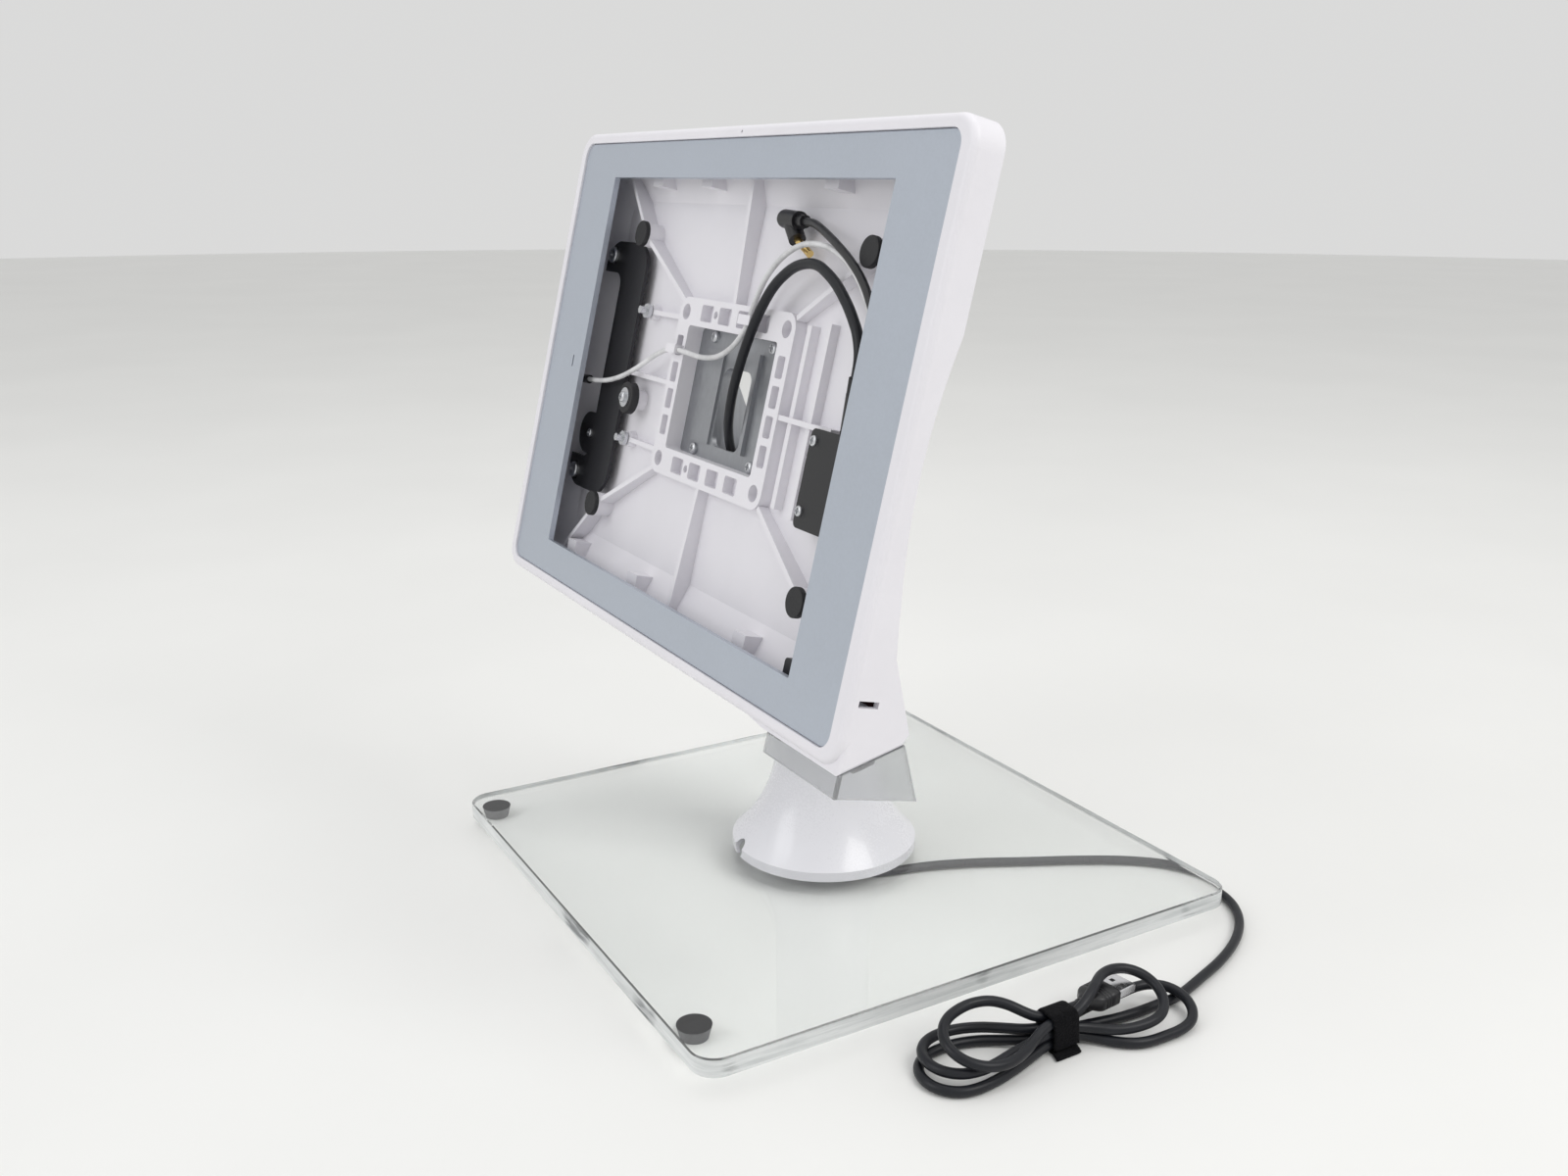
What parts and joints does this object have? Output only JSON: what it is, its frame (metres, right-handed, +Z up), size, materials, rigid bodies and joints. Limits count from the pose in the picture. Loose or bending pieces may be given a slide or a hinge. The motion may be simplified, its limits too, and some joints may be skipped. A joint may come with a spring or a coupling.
{
  "type": "touchscreen kiosk",
  "caption": "Tilting and swivelling tablet kiosk enclosure on a white pedestal and clear acrylic base, with inner cables, scanner hood and a bundled USB cable.",
  "frame": {"origin": "on the table, under the middle of the base plate", "axes": "+Z up, the front faces -Y, +X to the viewer's right"},
  "size_m": [0.4022, 0.317, 0.3883],
  "materials": {
    "acrylic": "clear polished acrylic",
    "foot_rubber": "matt dark rubber",
    "steel": "zinc plated",
    "bracket_steel": "grey powder coat",
    "housing": "fine satin white",
    "stand_white": "satin white powder coat",
    "panel_silver": "satin silver",
    "nylon": "natural nylon",
    "black_rubber": "matt black rubber",
    "black_steel": "satin black",
    "black_plastic": "satin black",
    "slate_sheath": "dark slate cable sheath",
    "black_sheath": "black cable sheath",
    "white_sheath": "white cable sheath",
    "hook_loop": "black hook-and-loop tape",
    "plated": "nickel plated",
    "gold": "gold plated",
    "hood_clear": "clear grey",
    "window": "clear",
    "mirror": "mirror"
  },
  "bodies": {
    "stand": {"base_plate": "acrylic", "feet": "foot_rubber", "disc_screws": "steel", "base_disc": "steel", "disc_grommet": "black_rubber", "column_tube": "steel", "pedestal": "stand_white", "swivel_bush": "nylon", "swivel_ring": "steel", "lead_in_column": "slate_sheath", "cable_run": "slate_sheath", "cable_hank": "slate_sheath", "hank_strap": "hook_loop", "usb_plug": "black_plastic", "plug_shell": "plated"},
    "neck": {"neck": "stand_white", "lead_in_neck": "slate_sheath"},
    "head": {"tilt_pin": "steel", "friction_washers": "nylon", "pin_nuts": "steel", "back_shell": "housing", "front_panel": "panel_silver", "bumpers": "black_rubber", "support_studs": "steel", "cushion": "black_rubber", "cushion_washer": "steel", "cushion_screw": "steel", "latch_bracket": "black_steel", "latch_screws": "steel", "connector_cover": "black_plastic", "cover_screws": "steel", "scan_module": "black_plastic", "scan_mirror": "mirror", "scan_window": "window", "scan_hood": "hood_clear", "hood_screws": "steel", "mount_plate": "bracket_steel", "mount_screws": "steel", "clevis": "bracket_steel", "bracket_screws": "steel", "usb_lead": "slate_sheath", "usb_sleeve": "black_rubber", "usb_connector": "black_plastic", "audio_lead": "black_sheath", "audio_plug": "black_plastic", "audio_tip": "gold", "white_lead": "white_sheath", "white_plug": "black_plastic", "cable_clips": "housing"}
  },
  "joints": [
    {"name": "stand_swivel", "type": "hinge", "parent": "stand", "child": "neck", "pos_m": [0, 0, 0.112], "axis": [0, 0, 1], "range_deg": [-90, 90]},
    {"name": "head_tilt", "type": "hinge", "parent": "neck", "child": "head", "pos_m": [0, -0.03, 0.2215], "axis": [-1, 0, 0], "range_deg": [-13.7, 31.3]}
  ]
}
